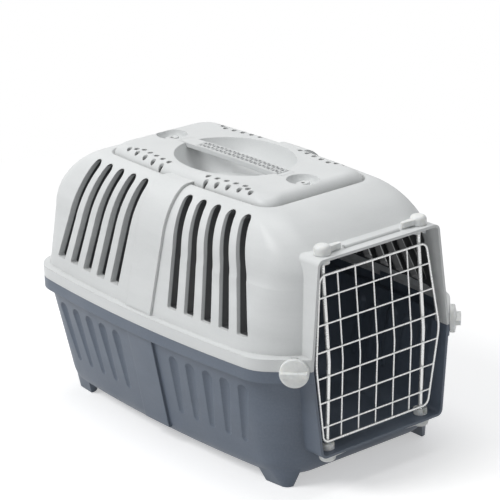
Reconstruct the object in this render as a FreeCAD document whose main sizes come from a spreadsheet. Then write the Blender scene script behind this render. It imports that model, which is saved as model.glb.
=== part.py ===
import FreeCAD, Part
import math
import os
import Sketcher
from FreeCAD import Placement, Rotation, Vector

# Two-shell pet carrier with a wire door, four twist latches, two clamp knobs and a top handle.
# Frame: +X points out of the door, +Z up, feet on Z = 0. Left and right are as seen facing the door,
# so left is the -Y side. All lengths are millimetres.

SIZES = (
    # Split line between the shells and the rim that each shell carries along it.
    ("seam_height", 152.0),
    ("rim_band", 14.0),
    ("rim_wall", 3.0),
    ("rim_half_width", 156.0),
    ("rim_rear", 241.0),
    ("rim_rear_radius", 42.0),
    ("rim_front_radius", 48.0),
    ("side_bow_radius", 1900.0),
    ("shell_wall", 2.5),
    # Upper shell: how far each wall stands inside the rim, leans in, and turns over at the shoulder.
    ("roof_height", 308.0),
    ("top_side_ledge", 9.0),
    ("top_rear_ledge", 7.0),
    ("top_front", 236.0),
    ("top_side_lean", 34.0),
    ("top_front_lean", 20.0),
    ("top_rear_lean", 8.0),
    ("top_side_lag", 45.0),
    ("shoulder_height", 56.0),
    ("shoulder_side", 28.0),
    ("shoulder_front", 74.0),
    ("shoulder_rear", 59.0),
    ("shoulder_side_power", 2.0),
    ("shoulder_front_power", 1.55),
    ("shoulder_rear_power", 1.7),
    ("top_rear_radius", 34.0),
    ("top_front_radius", 92.0),
    ("roof_corner_radius", 24.0),
    ("roof_recess", 4.0),
    ("roof_margin", 2.0),
    ("roof_draft", 3.0),
    ("crown_rise", 14.0),
    ("crown_depth", 13.0),
    # Lower shell: the same walls below the split, down to a rounded floor on four feet.
    ("floor_height", 11.0),
    ("base_side_ledge", 8.0),
    ("base_rear_ledge", 8.0),
    ("base_front", 220.0),
    ("base_side_lean", 22.0),
    ("base_front_lean", 15.0),
    ("base_rear_lean", 12.0),
    ("heel_height", 20.0),
    ("heel_depth", 13.0),
    ("heel_power", 2.0),
    ("base_rear_radius", 38.0),
    ("base_front_radius", 68.0),
    ("floor_corner_radius", 40.0),
    ("foot_length", 55.0),
    ("foot_width", 42.0),
    ("foot_draw_in", 12.0),
    ("foot_taper", 10.0),
    ("foot_corner", 9.0),
    # Doorway: a flat-sided tube through the front of both shells, widest at the split.
    ("portal_front", 238.0),
    ("portal_depth", 52.0),
    ("portal_top", 276.0),
    ("portal_bottom", 44.0),
    ("portal_half_top", 88.0),
    ("portal_half_seam", 102.0),
    ("portal_half_bottom", 90.0),
    ("portal_wall", 3.0),
    ("portal_corner", 8.0),
    # Side openings of the upper shell, in two groups that fan towards the middle of the body.
    ("body_middle", -13.0),
    ("slot_count", 5),
    ("slot_inner", 56.0),
    ("slot_pitch", 29.6),
    ("slot_top_inner", 41.0),
    ("slot_top_pitch", 24.4),
    ("slot_rise", 15.0),
    ("slot_drop", 5.0),
    ("slot_half_low", 8.2),
    ("slot_half_high", 6.8),
    ("slot_corner_low", 2.2),
    ("slot_corner_high", 6.2),
    ("slot_lip", 1.8),
    ("slot_lip_depth", 8.0),
    # Middle band on both sides, and the upright flutes of the lower shell.
    ("band_half_width", 23.0),
    ("band_proud", 2.6),
    ("flute_count", 5),
    ("flute_inner", 56.0),
    ("flute_pitch", 29.5),
    ("flute_low_inner", 52.0),
    ("flute_low_pitch", 27.5),
    ("flute_radius_high", 10.5),
    ("flute_radius_low", 7.5),
    ("flute_depth_high", 4.2),
    ("flute_depth_low", 1.8),
    ("flute_top_gap", 23.0),
    ("flute_foot_gap", 41.0),
    # Roof: finger well under the handle, strap pockets at both ends and groups of air holes between them.
    ("well_half_length", 84.0),
    ("well_half_width", 63.0),
    ("well_depth", 36.0),
    ("well_draft", 26.0),
    ("pocket_reach", 122.0),
    ("pocket_half_length", 20.0),
    ("pocket_half_width", 18.0),
    ("pocket_depth", 10.0),
    ("pocket_draft", 5.0),
    ("lug_length", 18.0),
    ("lug_width", 11.0),
    ("lug_height", 6.0),
    ("lug_eye_radius", 2.2),
    ("vent_radius", 3.3),
    ("vent_count", 5),
    ("vent_inner_start", 37.0),
    ("vent_inner_pitch", 14.5),
    ("vent_inner_row", 68.0),
    ("vent_outer_start", 42.0),
    ("vent_outer_pitch", 18.0),
    ("vent_outer_row", 76.0),
    ("vent_row_fall", 1.8),
    # Handle: a slightly arched bar let into the roof at both ends of the well.
    ("handle_pad", 12.0),
    ("handle_width", 19.0),
    ("handle_rise", 6.4),
    ("handle_thick", 5.6),
    ("handle_pad_thick", 5.0),
    ("handle_seat_gap", 0.2),
    # Door: bowed wire grille that hangs on two rods.
    ("rod_setback", 15.0),
    ("rod_half_span", 70.0),
    ("rod_radius", 2.4),
    ("bar_radius", 1.0),
    ("frame_radius", 1.4),
    ("door_bow", 6.0),
    ("door_bend_radius", 60.0),
    ("door_gap_top", 23.0),
    ("door_gap_bottom", 13.0),
    ("door_half_end", 78.0),
    ("door_half_seam", 91.0),
    ("frame_corner", 9.0),
    ("cross_wire_count", 6),
    ("cross_wire_pitch", 30.5),
    ("upright_count", 5),
    ("upright_pitch", 25.4),
    ("upright_end", 1.0),
    ("weld_sink", 0.08),
    # Twist latches above and below the rod ends: a lever outside the doorway and a cup inside it.
    ("latch_dome_radius", 9.5),
    ("latch_dome_height", 11.0),
    ("latch_dome_round", 5.0),
    ("latch_blade_reach", 26.0),
    ("latch_blade_width", 9.0),
    ("latch_tip_width", 5.0),
    ("latch_tip_crown", 2.0),
    ("latch_blade_lift", 1.5),
    ("latch_blade_thick", 6.0),
    ("latch_shank_radius", 5.0),
    ("latch_key_radius", 3.0),
    ("latch_key_depth", 6.0),
    ("latch_seat_gap", 0.3),
    ("cup_radius", 8.0),
    ("cup_height", 6.8),
    ("cup_web", 0.8),
    ("cup_mouth_half", 3.2),
    ("pin_clearance", 0.3),
    ("pin_end_gap", 0.4),
    ("running_clearance", 0.08),
    # Clamp knobs on the slanted front corners of the rim: a grip outside and a clamp plate inside.
    ("knob_from_corner", 18.5),
    ("knob_radius", 16.5),
    ("knob_thick", 8.0),
    ("knob_edge", 1.2),
    ("knob_crown", 2.0),
    ("knob_bar_height", 4.5),
    ("knob_bar_width", 7.0),
    ("knob_bar_inset", 1.6),
    ("knob_bar_draft", 0.8),
    ("knob_shank_radius", 5.0),
    ("knob_seat_gap", 0.3),
    ("clamp_radius", 8.0),
    ("clamp_thick", 3.5),
    ("clamp_key_radius", 3.0),
    # Small details on the shells.
    ("stop_ridge_radius", 3.0),
    ("stop_ridge_gap", 4.0),
    ("tab_width", 22.0),
    ("tab_thick", 2.0),
    ("tab_rise", 7.0),
    ("tab_clearance", 0.4),
    ("tab_spread", 92.0),
    ("window_width", 8.0),
    ("window_depth", 4.0),
)

doc = FreeCAD.newDocument("pet_carrier")
sheet = doc.addObject("Spreadsheet::Sheet", "sizes")
for row, (alias, number) in enumerate(SIZES, start=1):
    sheet.set("A%d" % row, alias)
    sheet.set("B%d" % row, str(number))
    sheet.setAlias("B%d" % row, alias)
doc.recompute()


def size(alias):
    return float(sheet.get(alias))


class Length:
    """A length: its value now, and the formula that ties a property to the sheet."""

    def __init__(self, value, text):
        self.value = value
        self.text = text

    def __add__(self, other):
        return Length(self.value + other.value, "(%s + %s)" % (self.text, other.text))

    def __sub__(self, other):
        return Length(self.value - other.value, "(%s - %s)" % (self.text, other.text))

    def __mul__(self, factor):
        return Length(self.value * factor, "(%s * %r)" % (self.text, factor))

    def times(self, other):
        return Length(self.value * other.value, "(%s * %s)" % (self.text, other.text))

    def over(self, other):
        return Length(self.value / other.value, "(%s / %s)" % (self.text, other.text))


def named(alias):
    return Length(size(alias), "sizes." + alias)


ZERO = Length(0.0, "0")
ONE = Length(1.0, "1")


def bind(item, slot, length):
    item.setExpression(slot, length.text)


def feature(name, shape):
    made = doc.addObject("Part::Feature", name)
    made.Shape = shape
    return made


def cut(name, base, tool):
    made = doc.addObject("Part::Cut", name)
    made.Base = base
    made.Tool = tool
    made.Refine = False
    return made


def fuse(name, *pieces):
    made = doc.addObject("Part::MultiFuse", name)
    made.Shapes = list(pieces)
    made.Refine = False
    return made


def common(name, *pieces):
    made = doc.addObject("Part::MultiCommon", name)
    made.Shapes = list(pieces)
    made.Refine = False
    return made


# Outlines in plan and elevation.


def mirrored(point):
    return Vector(point.x, -point.y, point.z)


def rounded(points, radii, closed=True):
    """Wire through points whose corners are rounded with arcs tangent to both sides."""
    count = len(points)
    edges = []
    leave = None
    first = None
    for index in range(count):
        here = points[index]
        radius = radii[index]
        if radius == 0:
            arrive = here
            depart = here
        else:
            back = (points[index - 1] - here).normalize()
            ahead = (points[(index + 1) % count] - here).normalize()
            half_turn = (math.pi - back.getAngle(ahead)) / 2
            run = radius * math.tan(half_turn)
            arrive = here + back * run
            depart = here + ahead * run
            inward = (back + ahead).normalize()
            middle = here + inward * (radius / math.cos(half_turn) - radius)
        if leave is None:
            first = arrive
        elif leave.distanceToPoint(arrive) > Part.Precision.confusion():
            edges.append(Part.LineSegment(leave, arrive).toShape())
        if radius != 0:
            edges.append(Part.Arc(arrive, middle, depart).toShape())
        leave = depart
    if closed:
        edges.append(Part.LineSegment(leave, first).toShape())
    return Part.Wire(edges)


def side_arc_centre(rear, front, half_width):
    """Centre of the large arc that bows the -Y side of a plan outline."""
    return Vector((front - rear) / 2, size("side_bow_radius") - half_width, 0)


def end_corner(heart, wall, radius, way):
    """Corner arc from the bowed -Y side to an end wall: its points on the side, halfway and on the wall."""
    bow = size("side_bow_radius")
    across = wall - way * radius - heart.x
    centre = Vector(wall - way * radius, heart.y - math.sqrt((bow - radius) ** 2 - across**2), 0)
    to_side = (centre - heart).normalize()
    to_wall = Vector(way, 0, 0)
    halfway = (to_side + to_wall).normalize()
    return [centre + to_side * radius, centre + halfway * radius, centre + to_wall * radius]


def half_wire(chain, beyond, height):
    """Closed wire of an outline's -Y half, carried past the middle plane by beyond. In the chain, pieces of
    two points are lines and pieces of three are arcs."""
    first = chain[0][0]
    last = chain[-1][-1]
    rear_end = Vector(last.x, beyond, 0)
    front_end = Vector(first.x, beyond, 0)
    edges = []
    for piece in chain + [[last, rear_end], [rear_end, front_end], [front_end, first]]:
        points = [point + Vector(0, 0, height) for point in piece]
        edges.append(Part.Arc(*points) if len(points) == 3 else Part.LineSegment(*points))
    return Part.Wire([edge.toShape() for edge in edges])


def outline(rear, front, half_width, rear_radius, front_radius, beyond, height, lag=0.0):
    """Half of a plan outline with bowed sides, widest at lag behind mid-length, and round corners."""
    heart = side_arc_centre(rear, front, half_width) - Vector(lag, 0, 0)
    front_corner = end_corner(heart, front, front_radius, 1)
    rear_corner = end_corner(heart, -rear, rear_radius, -1)
    middle = Vector(heart.x, -half_width, 0)
    chain = [front_corner[::-1], [front_corner[0], middle, rear_corner[0]], rear_corner]
    return half_wire(chain, beyond, height)


def slant_plane():
    """Distance of the rim's slanted front corner faces from the origin, along their normals."""
    return (size("portal_front") + size("portal_half_seam")) / math.sqrt(2)


SLANT_NORMAL = Vector(1, -1, 0).normalize()
SLANT_ALONG = Vector(1, 1, 0).normalize()


def rim_outline(inset, beyond, height):
    """Half of the rim's plan outline: bowed side, round rear corner, slanted front corner, doorway front."""
    rear = size("rim_rear") - inset
    front = size("portal_front") - inset
    half_width = size("rim_half_width") - inset
    bow = size("side_bow_radius") - inset
    heart = Vector((front - rear) / 2, bow - half_width, 0)
    radius = size("rim_front_radius") - inset
    slant = slant_plane() - inset
    across = heart - SLANT_NORMAL * (slant - radius)
    along = across.dot(SLANT_ALONG) - math.sqrt((bow - radius) ** 2 - across.dot(SLANT_NORMAL) ** 2)
    centre = SLANT_NORMAL * (slant - radius) + SLANT_ALONG * along
    to_side = (centre - heart).normalize()
    halfway = (to_side + SLANT_NORMAL).normalize()
    on_slant = centre + SLANT_NORMAL * radius
    on_side = centre + to_side * radius
    front_point = Vector(front, front - slant * math.sqrt(2), 0)
    rear_radius = size("rim_rear_radius") - inset
    rear_centre_x = -rear + rear_radius
    reach = math.sqrt((bow - rear_radius) ** 2 - (rear_centre_x - heart.x) ** 2)
    rear_centre = Vector(rear_centre_x, heart.y - reach, 0)
    rear_to_side = (rear_centre - heart).normalize()
    rear_half = (rear_to_side + Vector(-1, 0, 0)).normalize()
    rear_points = [
        rear_centre + rear_to_side * rear_radius,
        rear_centre + rear_half * rear_radius,
        rear_centre + Vector(-rear_radius, 0, 0),
    ]
    chain = [
        [front_point, on_slant],
        [on_slant, centre + halfway * radius, on_side],
        [on_side, Vector(heart.x, -half_width, 0), rear_points[0]],
        rear_points,
    ]
    return half_wire(chain, beyond, height)


# Walls of the two shells.


class Shell:
    """Walls that leave the rim, lean inwards and turn over into a roof (way 1) or a floor (way -1)."""

    def __init__(self, way, far_height, turn, rear, front, side, radii, side_lag):
        self.way = way
        self.start = size("seam_height") + way * size("rim_band")
        self.reach = abs(far_height - self.start)
        self.turn = turn
        self.rear = rear
        self.front = front
        self.side = side
        self.radii = radii
        self.side_lag = side_lag

    def stand(self, wall, run):
        """Distance of a wall from the origin, at a run away from the rim."""
        start, lean, depth, power = wall
        rise = min(1.0, max(0.0, (run - self.reach + self.turn) / self.turn))
        return start - lean * run / self.reach - depth * (1 - (1 - rise**power) ** (1 / power))

    def lag(self, run):
        """How far behind mid-length the sides are widest: most where the walls begin to turn over."""
        return self.side_lag * min(run / (self.reach - self.turn), (self.reach - run) / self.turn)

    def level(self, run):
        return self.start + self.way * run

    def section(self, run, inset, beyond, height):
        """Half outline of the walls at a run from the rim, drawn in by inset and laid at a height."""
        rear_radius, front_radius, far_radius = self.radii
        share = run / self.reach
        return outline(
            self.stand(self.rear, run) - inset,
            self.stand(self.front, run) - inset,
            self.stand(self.side, run) - inset,
            rear_radius + (far_radius - rear_radius) * share - inset,
            front_radius + (far_radius - front_radius) * share - inset,
            beyond,
            height,
            self.lag(run),
        )

    def body(self, last, inset, beyond):
        """Half solid inside the walls, from the rim to a last run, drawn in and moved to the rim by inset."""
        turn_at = self.reach - self.turn
        sweep = math.asin(min(1.0, (last - turn_at) / self.turn))
        steps = 6
        lead = self.turn * math.sin(sweep / steps)
        runs = [turn_at - lead, turn_at]
        runs += [turn_at + self.turn * math.sin(sweep * step / steps) for step in range(1, steps + 1)]
        wires = [self.section(run, inset, beyond, self.level(run - inset)) for run in runs]
        first = self.section(0.0, inset, beyond, self.level(-inset))
        straight = Part.makeLoft([first, wires[0]], True, True)
        return straight.fuse(Part.makeLoft(wires, True, False))

    def throat(self, inset):
        """Straight continuation of the cavity from the first section to just past the split."""
        face = Part.Face(self.section(0.0, inset, inset, self.level(-inset)))
        return face.extrude(Vector(0, 0, -self.way * size("rim_band")))

    def skin(self, proud):
        """Half solid that stands proud of the walls and reaches down into the rim."""
        return self.body(self.reach, -proud, 0.0).fuse(self.throat(-proud))

    def side_point(self, x, run):
        """Point of the -Y side wall at a distance x along the body and a run from the rim."""
        front = self.stand(self.front, run)
        rear = self.stand(self.rear, run)
        half_width = self.stand(self.side, run)
        heart = side_arc_centre(rear, front, half_width) - Vector(self.lag(run), 0, 0)
        bow = size("side_bow_radius")
        return Vector(x, heart.y - math.sqrt(bow**2 - (x - heart.x) ** 2), self.level(run))


def top_walls():
    return Shell(
        1,
        size("roof_height"),
        size("shoulder_height"),
        (
            size("rim_rear") - size("top_rear_ledge"),
            size("top_rear_lean"),
            size("shoulder_rear"),
            size("shoulder_rear_power"),
        ),
        (size("top_front"), size("top_front_lean"), size("shoulder_front"), size("shoulder_front_power")),
        (
            size("rim_half_width") - size("top_side_ledge"),
            size("top_side_lean"),
            size("shoulder_side"),
            size("shoulder_side_power"),
        ),
        (size("top_rear_radius"), size("top_front_radius"), size("roof_corner_radius")),
        size("top_side_lag"),
    )


def base_walls():
    heel = (size("heel_depth"), size("heel_power"))
    return Shell(
        -1,
        size("floor_height"),
        size("heel_height"),
        (size("rim_rear") - size("base_rear_ledge"), size("base_rear_lean")) + heel,
        (size("base_front"), size("base_front_lean")) + heel,
        (size("rim_half_width") - size("base_side_ledge"), size("base_side_lean")) + heel,
        (size("base_rear_radius"), size("base_front_radius"), size("floor_corner_radius")),
        0.0,
    )


def rim_slab(way, inset, roof):
    """Slab of the rim on one side of the split, drawn in by inset and stopped short by roof."""
    overrun = inset
    height = size("rim_band") - roof + overrun
    wire = rim_outline(inset, inset, size("seam_height") - way * overrun)
    return Part.Face(wire).extrude(Vector(0, 0, way * height))


def portal(way, inset, overrun):
    """Doorway tube on one side of the split: outer for inset 0, opening for inset portal_wall."""
    seam = size("seam_height")
    far = (size("portal_top") if way > 0 else size("portal_bottom")) - way * inset
    half_far = size("portal_half_top") if way > 0 else size("portal_half_bottom")
    half_seam = size("portal_half_seam")
    slope = (half_seam - half_far) / abs(seam - far - way * inset)
    shrink = inset * math.sqrt(1 + slope**2)
    near = seam - way * overrun

    def half_at(height):
        return half_seam - slope * abs(height - seam) - shrink

    back = size("portal_front") - size("portal_depth") - overrun
    near_half = half_at(seam)
    corners = [
        Vector(back, -near_half, near),
        Vector(back, -half_at(far), far),
        Vector(back, inset, far),
        Vector(back, inset, near),
    ]
    face = Part.Face(rounded(corners, [0, size("portal_corner") - inset, 0, 0]))
    return face.extrude(Vector(size("portal_depth") + 2 * overrun, 0, 0))


def mirror_joined(name, half):
    """Whole shell from its -Y half."""
    other = doc.addObject("Part::Mirroring", name + "_mirror")
    other.Source = half
    other.Normal = Vector(0, 1, 0)
    return fuse(name, half, other)


def fan(count, inner, pitch, far_inner, far_pitch):
    """Near and far positions along the body of the members of two groups that fan about its middle."""
    middle = size("body_middle")
    places = []
    for side in (-1, 1):
        for index in range(count):
            near = middle + side * (inner + index * pitch)
            far = middle + side * (far_inner + index * far_pitch)
            places.append((near, far))
    return places


# Upper shell.


def slot_places():
    return fan(
        int(size("slot_count")),
        size("slot_inner"),
        size("slot_pitch"),
        size("slot_top_inner"),
        size("slot_top_pitch"),
    )


def slot_prisms(walls, grow):
    """Prisms through the side walls, one for each slot, widened by grow: square below and round above."""
    outside = -size("rim_half_width") - size("rim_wall")
    inside = -walls.stand(walls.side, walls.reach)
    low_height = walls.start + size("slot_rise") - grow
    high_height = size("roof_height") - size("slot_drop") + grow
    low_half = Vector(size("slot_half_low") + grow, 0, 0)
    high_half = Vector(size("slot_half_high") + grow, 0, 0)
    low_corner = size("slot_corner_low") + grow
    high_corner = size("slot_corner_high") + grow
    solids = []
    for low_x, high_x in slot_places():
        low = Vector(low_x, outside, low_height)
        high = Vector(high_x, outside, high_height)
        points = [low - low_half, low + low_half, high + high_half, high - high_half]
        wire = rounded(points, [low_corner, low_corner, high_corner, high_corner])
        solids.append(Part.Face(wire).extrude(Vector(0, inside - outside, 0)))
    return Part.Compound(solids)


def band_prism(low, high):
    """Upright slab from the side to the middle plane, between the groups of slots."""
    middle = size("body_middle")
    half = size("band_half_width")
    width = size("rim_half_width")
    return Part.makeBox(2 * half, width, high - low, Vector(middle - half, -width, low))


def crest():
    """Height of the crowned roof panel's top."""
    return named("roof_height") - named("roof_recess") + named("crown_rise")


def ellipse_wire(x, half_length, half_width, height):
    curve = Part.Ellipse(Vector(x, 0, height), half_length, half_width)
    return Part.Wire([curve.toShape()])


def bowl(x, half_length, half_width, depth, draft):
    """Oval bowl with drafted sides, hanging from the top of the roof panel."""
    top = crest().value
    wires = [
        ellipse_wire(x, half_length - draft, half_width - draft, top - depth),
        ellipse_wire(x, half_length - draft / 3, half_width - draft / 3, top - depth / 2),
        ellipse_wire(x, half_length, half_width, top),
    ]
    return Part.makeLoft(wires, True, False)


def roof_bowls(grow):
    """Finger well and the strap pocket at each end of the roof, widened by grow for their liners."""
    middle = size("body_middle")
    bowls = []
    for kind, places in (("well", (0,)), ("pocket", (-1, 1))):
        for side in places:
            bowls.append(
                bowl(
                    middle + side * size("pocket_reach"),
                    size(kind + "_half_length") + grow,
                    size(kind + "_half_width") + grow,
                    size(kind + "_depth") + grow,
                    size(kind + "_draft"),
                )
            )
    return Part.Compound(bowls)


def handle_seat(grow):
    """Slot in the roof panel that the handle's ends lie in, widened by grow for its liner."""
    spread = size("handle_seat_gap") + grow
    half_length = size("well_half_length") + size("handle_pad") + spread
    half_width = size("handle_width") / 2 + spread
    low = crest().value - size("handle_pad_thick") - grow
    height = size("handle_rise") + grow
    corner = Vector(size("body_middle") - half_length, -half_width, low)
    return Part.makeBox(2 * half_length, 2 * half_width, height, corner)


def vent_cylinders():
    """Air holes through the roof panel: two rows in each quarter, with one more between their far ends."""
    middle = size("body_middle")
    low = crest().value - size("crown_rise") - 2 * size("shell_wall")
    height = size("crown_rise") + 4 * size("shell_wall")
    last = int(size("vent_count")) - 1
    solids = []
    for side in (-1, 1):
        places = []
        for index in range(last + 1):
            for row in ("inner", "outer"):
                reach = size("vent_%s_start" % row) + index * size("vent_%s_pitch" % row)
                across = size("vent_%s_row" % row) - index * size("vent_row_fall")
                places.append(Vector(middle + side * reach, -across, low))
        places.append((places[-1] + places[-2]) * 0.5)
        solids += [Part.makeCylinder(size("vent_radius"), height, place) for place in places]
    return Part.Compound(solids)


def crown(walls, inset, beyond):
    """Pillow of the roof panel inside the recess, drawn in and lowered by inset."""
    floor = size("roof_height") - size("roof_recess") - inset
    foot = size("roof_margin") + size("roof_draft") + inset
    radius = size("roof_corner_radius") - foot
    steps = 6
    wires = []
    for step in range(steps + 1):
        turn = math.pi / 2 * step / steps
        in_from_foot = foot + size("crown_depth") * (1 - math.cos(turn))
        rear, front, half_width = [
            walls.stand(wall, walls.reach) - in_from_foot for wall in (walls.rear, walls.front, walls.side)
        ]
        height = floor + size("crown_rise") * math.sin(turn)
        wires.append(outline(rear, front, half_width, radius, radius, beyond, height))
    root = Part.Face(wires[0]).extrude(Vector(0, 0, -size("shell_wall")))
    return Part.makeLoft(wires, True, False).fuse(root)


def roof_recess(walls):
    """Shallow tray of the roof panel, with drafted sides."""
    floor = size("roof_height") - size("roof_recess")
    margin = size("roof_margin")
    draft = size("roof_draft")
    high = size("roof_height") + size("band_proud") + margin
    slope = draft / size("roof_recess")
    low_wire = walls.section(walls.reach, margin + draft, margin, floor)
    high_wire = walls.section(walls.reach, margin - slope * (high - size("roof_height")), margin, high)
    return Part.makeLoft([low_wire, high_wire], True, True)


def rod_place(side):
    """Foot of a door rod's pin axis, on Z = 0. Side -1 is left."""
    return Vector(size("portal_front") - size("rod_setback"), side * size("rod_half_span"), 0)


def latch_hole(way):
    """Bore for the left latch shank through the doorway's top or bottom wall."""
    radius = size("latch_shank_radius") + size("running_clearance")
    far = size("portal_top") if way > 0 else size("portal_bottom")
    wall = size("portal_wall")
    low = far - 2 * wall if way > 0 else far - wall
    return Part.makeCylinder(radius, 3 * wall, rod_place(-1) + Vector(0, 0, low))


def knob_seat(side):
    """Point of the slanted rim face on the knob's axis, and the axis direction out of the face."""
    point = Vector(size("portal_front"), -size("portal_half_seam"), size("seam_height"))
    point = point - SLANT_ALONG * size("knob_from_corner")
    if side < 0:
        return point, SLANT_NORMAL
    return mirrored(point), mirrored(SLANT_NORMAL)


def knob_hole():
    """Bore for the left knob's shank, centred on the split so that each shell has half of it."""
    radius = size("knob_shank_radius") + size("running_clearance")
    point, axis = knob_seat(-1)
    return Part.makeCylinder(radius, 3 * size("rim_wall"), point - axis * 2 * size("rim_wall"), axis)


def rim_window():
    """Small slot in the upper rim's ledge, above the left knob."""
    point, axis = knob_seat(-1)
    width = size("window_width")
    depth = size("window_depth")
    block = Part.makeBox(depth, width, 2 * size("rim_wall"), Vector(-depth, -width / 2, 0))
    ledge = Vector(0, 0, size("rim_band") - 1.5 * size("rim_wall"))
    block.Placement = Placement(point - axis * size("rim_wall") + ledge, Rotation(Vector(1, 0, 0), axis))
    return block


def stop_ridge():
    """Half-round ridge on top of the doorway, between the swept circles of the latch blades."""
    reach = size("latch_blade_reach") + size("stop_ridge_gap")
    half = size("rod_half_span") - reach
    place = Vector(size("portal_front") - size("rod_setback"), -half, size("portal_top"))
    return Part.makeCylinder(size("stop_ridge_radius"), half, place, Vector(0, 1, 0))


def make_top_shell():
    walls = top_walls()
    wall = size("shell_wall")
    roof_run = walls.reach - size("roof_recess")
    body = feature("top_body", walls.body(walls.reach, 0.0, 0.0))
    band_body = feature("top_band_body", walls.skin(size("band_proud")))
    band_slab = feature("top_band_slab", band_prism(walls.start, size("roof_height") + size("band_proud")))
    band = common("top_band", band_body, band_slab)
    rim = feature("top_rim", rim_slab(1, 0.0, 0.0))
    tube = feature("top_portal_tube", portal(1, 0.0, 0.0))
    ridge = feature("top_stop_ridge", stop_ridge())
    tray = cut("top_tray", feature("top_recess", roof_recess(walls)), band_slab)
    walls_mass = cut("top_walls_mass", fuse("top_walls", body, band), tray)
    panel = feature("top_crown", crown(walls, 0.0, 0.0))
    mass = fuse("top_mass", walls_mass, panel, rim, tube, ridge)

    cavity = fuse(
        "top_cavity",
        feature("top_cavity_walls", walls.body(roof_run, wall, wall)),
        feature("top_cavity_crown", crown(walls, wall, wall)),
    )
    deep = feature("top_deep_cavity", walls.body(roof_run, wall + size("slot_lip_depth"), wall))
    lips = cut("top_slot_lips", feature("top_slot_sleeves", slot_prisms(walls, size("slot_lip"))), deep)
    bowl_liners = feature("top_bowl_liners", roof_bowls(wall))
    seat_liner = feature("top_seat_liner", handle_seat(wall))
    hollow = cut("top_hollow", cavity, fuse("top_inner_forms", lips, bowl_liners, seat_liner))
    throat = feature("top_throat", walls.throat(wall))
    slab = feature("top_channel_slab", rim_slab(1, size("rim_wall"), size("rim_wall")))
    channel = cut("top_channel", slab, tube)
    doorway = feature("top_doorway", portal(1, size("portal_wall"), size("portal_wall")))

    hollowed = cut("top_hollowed", mass, fuse("top_voids", hollow, throat, channel, doorway))
    tools = fuse(
        "top_openings",
        feature("top_slots", slot_prisms(walls, 0.0)),
        feature("top_bowls", roof_bowls(0.0)),
        feature("top_handle_seat", handle_seat(0.0)),
        feature("top_vents", vent_cylinders()),
        feature("top_latch_hole", latch_hole(1)),
        feature("top_knob_hole", knob_hole()),
        feature("top_window", rim_window()),
    )
    return mirror_joined("top_shell", cut("top_half", hollowed, tools))


# Lower shell.


def flute(high, high_radius, low, low_radius):
    """Round-ended tapered rod along the flute, turned about the line between its end points."""
    span = low - high
    along = Vector(span).normalize()
    out = Vector(1, 0, 0)
    edges = [
        Part.Arc(
            high - along * high_radius,
            high + (out - along).normalize() * high_radius,
            high + out * high_radius,
        ),
        Part.LineSegment(high + out * high_radius, low + out * low_radius),
        Part.Arc(
            low + out * low_radius,
            low + (out + along).normalize() * low_radius,
            low + along * low_radius,
        ),
        Part.LineSegment(low + along * low_radius, high - along * high_radius),
    ]
    face = Part.Face(Part.Wire([edge.toShape() for edge in edges]))
    return face.revolve(high, along, 360)


def flutes(walls, grow):
    """Tapered rods that press the flutes into the lower shell's sides, thickened by grow."""
    places = fan(
        int(size("flute_count")),
        size("flute_inner"),
        size("flute_pitch"),
        size("flute_low_inner"),
        size("flute_low_pitch"),
    )
    high_run = size("flute_top_gap")
    low_run = walls.reach - size("flute_foot_gap")
    high_out = Vector(0, size("flute_depth_high") - size("flute_radius_high"), 0)
    low_out = Vector(0, size("flute_depth_low") - size("flute_radius_low"), 0)
    solids = []
    for high_x, low_x in places:
        high = walls.side_point(high_x, high_run) + high_out
        low = walls.side_point(low_x, low_run) + low_out
        solids.append(flute(high, size("flute_radius_high") + grow, low, size("flute_radius_low") + grow))
    return Part.Compound(solids)


def feet(name, walls, inset):
    """Four corner feet under the walls that draw in on all sides towards the ground, or their hollows for an
    inset."""
    run = walls.reach - size("heel_height")
    rear, front, side = [walls.stand(wall, run) for wall in (walls.rear, walls.front, walls.side)]
    corner = size("foot_corner") - inset
    draw_in = size("foot_draw_in") + inset
    high = walls.section(run, size("shell_wall") / 2 + inset, 0.0, walls.level(run))
    low = outline(rear - draw_in, front - draw_in, side - draw_in, corner, corner, 0.0, inset)
    block = Part.makeLoft([low, high], True, True)
    posts = []
    for end, way in ((-rear, 1), (front, -1)):
        wires = []
        for height, taper in ((inset, size("foot_taper")), (walls.level(run), 0.0)):
            length = size("foot_length") - taper - inset
            width = size("foot_width") - taper - inset
            inner = Vector(end + way * length, width - side, height)
            points = [
                Vector(end, -side, height),
                Vector(inner.x, -side, height),
                inner,
                Vector(end, inner.y, height),
            ]
            wires.append(rounded(points, [0, 0, corner, 0]))
        posts.append(Part.makeLoft(wires, True, True))
    blocks = feature(name + "_block", block)
    return common(name, blocks, feature(name + "_posts", Part.Compound(posts)))


def rim_tabs():
    """Upright tabs inside the rim that centre the upper shell: a root on the band and a blade above it."""
    seam = size("seam_height")
    inner = size("rim_half_width") - size("rim_wall")
    gap = size("tab_clearance")
    thick = size("tab_thick")
    width = size("tab_width")
    sunk = size("rim_wall") / 2
    low = seam - size("rim_band") + sunk
    solids = []
    for side in (-1, 1):
        x = size("body_middle") + side * size("tab_spread")
        root = Part.makeBox(width, sunk + gap + thick, seam - gap - low, Vector(-width / 2, -sunk, low))
        blade = Part.makeBox(width, thick, seam + size("tab_rise") - low, Vector(-width / 2, gap, low))
        tab = root.fuse(blade).removeSplitter()
        sag, turn = side_sag(x)
        tab.Placement = Placement(Vector(x, sag - inner, 0), Rotation(Vector(0, 0, 1), turn))
        solids.append(tab)
    return Part.Compound(solids)


def side_sag(x):
    """How far the bowed -Y side of the rim stands in from its widest point at a distance along the body, and
    how far it is turned there, in degrees."""
    bow = size("side_bow_radius")
    along = x - (size("portal_front") - size("rim_rear")) / 2
    return bow - math.sqrt(bow**2 - along**2), math.degrees(math.asin(along / bow))


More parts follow.
